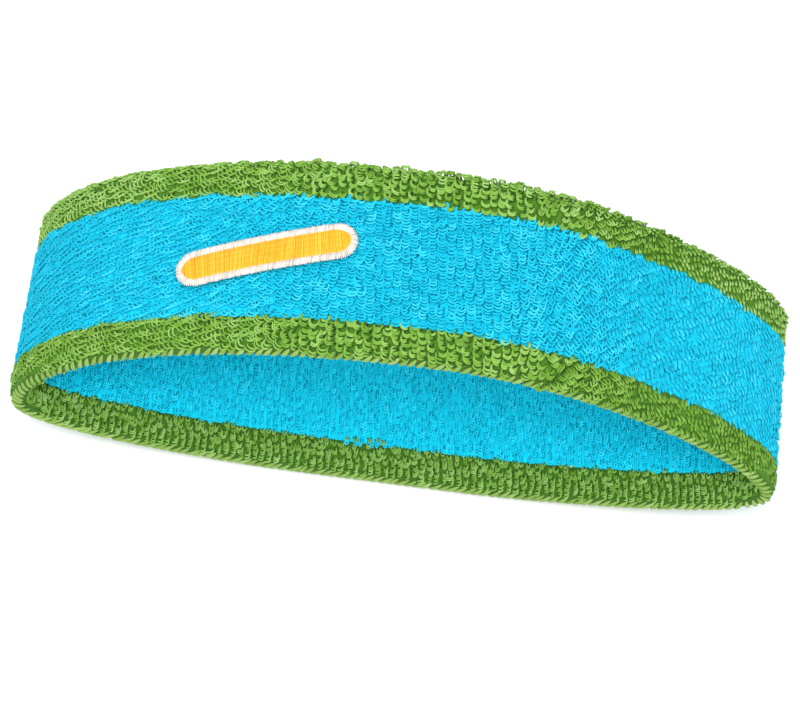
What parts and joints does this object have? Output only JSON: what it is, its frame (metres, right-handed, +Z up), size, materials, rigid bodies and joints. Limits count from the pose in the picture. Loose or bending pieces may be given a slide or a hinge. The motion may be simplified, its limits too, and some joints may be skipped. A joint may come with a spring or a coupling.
{
  "type": "sports headband",
  "caption": "Two-layer terry sports headband with three colour stripes, laid-in elastic and an embroidered front mark, lying on its back wall.",
  "frame": {"origin": "middle of the band's length and height, at the level of the back wall's outer face, which it lies on", "axes": "+X along the band's length, +Y along the axis of the head opening towards the folded upper rim, +Z up out of the front wall, which carries the emblem"},
  "size_m": [0.1818, 0.05, 0.0668],
  "materials": {
    "outer_green_terry": "coarse cotton terry loops, leaf green",
    "outer_blue_terry": "coarse cotton terry loops, cyan blue",
    "inner_green_terry": "fine ribbed terry loops, leaf green",
    "inner_blue_terry": "fine ribbed terry loops, cyan blue",
    "fold_green_terry": "open terry loops over the fold, leaf green",
    "seam_olive_yarn": "slanted chain stitches, olive green",
    "covered_elastic": "rubber core wrapped in white yarn",
    "white_embroidery_thread": "satin stitch, silky",
    "orange_embroidery_thread": "satin stitch, silky",
    "bobbin_thread_backing": "matte bobbin thread on a thin backing"
  },
  "bodies": {
    "root": {"outer_upper_stripe": "outer_green_terry", "outer_centre_stripe": "outer_blue_terry", "outer_lower_stripe": "outer_green_terry", "inner_upper_stripe": "inner_green_terry", "inner_centre_stripe": "inner_blue_terry", "inner_lower_stripe": "inner_green_terry", "upper_rim_fold": "fold_green_terry", "lower_linking_seam": "seam_olive_yarn", "elastic_thread_01": "covered_elastic", "elastic_thread_02": "covered_elastic", "elastic_thread_03": "covered_elastic", "elastic_thread_04": "covered_elastic", "elastic_thread_05": "covered_elastic", "elastic_thread_06": "covered_elastic", "elastic_thread_07": "covered_elastic", "elastic_thread_08": "covered_elastic", "elastic_thread_09": "covered_elastic", "elastic_thread_10": "covered_elastic", "emblem_border": "white_embroidery_thread", "emblem_fill": "orange_embroidery_thread", "emblem_backing": "bobbin_thread_backing"}
  },
  "joints": []
}
